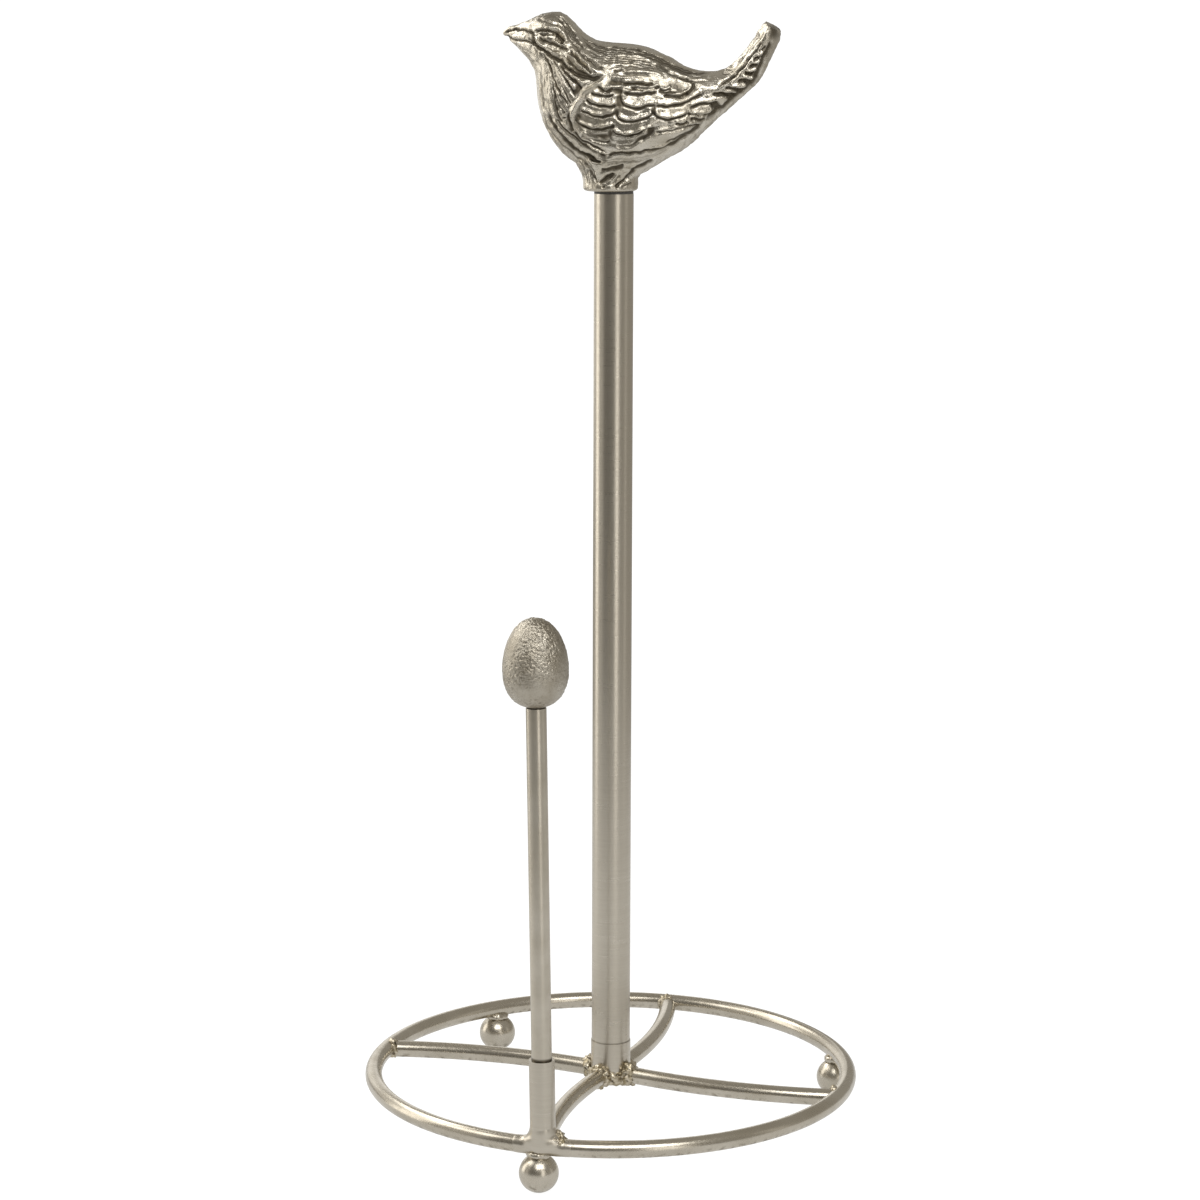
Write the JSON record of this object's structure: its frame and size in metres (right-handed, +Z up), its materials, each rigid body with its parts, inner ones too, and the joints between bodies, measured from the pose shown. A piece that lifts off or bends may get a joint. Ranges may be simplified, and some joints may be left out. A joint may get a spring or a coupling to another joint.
{
  "type": "paper towel holder",
  "caption": "Free-standing upright holder for a kitchen roll: wire ring base on ball feet, central pole with an unscrewing bird finial, and a lift-out side arm topped by an egg.",
  "frame": {"origin": "on the pole's axis at table level, under the ball feet", "axes": "+Z up along the pole; the side arm stands towards -Y; the bird faces -X"},
  "size_m": [0.163, 0.1704, 0.3618],
  "materials": {
    "satin_wire": "satin nickel plate",
    "brushed_tube": "brushed nickel plate",
    "cast_nickel": "polished cast, nickel plated, dark in the recesses",
    "plain_steel": "plain turned",
    "nylon": "matt"
  },
  "bodies": {
    "base": {"base_ring": "satin_wire", "spoke_front": "satin_wire", "spoke_right": "satin_wire", "spoke_back": "satin_wire", "spoke_left": "satin_wire", "foot_front": "satin_wire", "foot_right": "satin_wire", "foot_back": "satin_wire", "hub_sleeve": "brushed_tube", "hub_nut": "plain_steel", "pole_stud": "plain_steel", "pole_lower_insert": "plain_steel", "pole_tube": "brushed_tube", "pole_upper_insert": "plain_steel", "finial_stud": "plain_steel", "arm_socket": "brushed_tube"},
    "washer": {"finial_washer": "nylon"},
    "bird": {"bird_finial": "cast_nickel"},
    "arm": {"arm_rod": "satin_wire", "egg_stud": "plain_steel", "arm_egg": "cast_nickel"}
  },
  "joints": [
    {"name": "finial_rise", "type": "slide", "parent": "base", "child": "washer", "axis": [0, 0, 1], "range_m": [0, 0.0064]},
    {"name": "finial_turn", "type": "hinge", "parent": "washer", "child": "bird", "pos_m": [0, 0, 0.3058], "axis": [0, 0, 1], "range_deg": [0, 1800]},
    {"name": "arm_lift", "type": "slide", "parent": "base", "child": "arm", "axis": [-0.0157, 0, 0.9999], "range_m": [0, 0.03]}
  ],
  "couplings": [
    {"joint": "finial_rise", "follows": "finial_turn", "m_per_rad": 0.00020213}
  ]
}
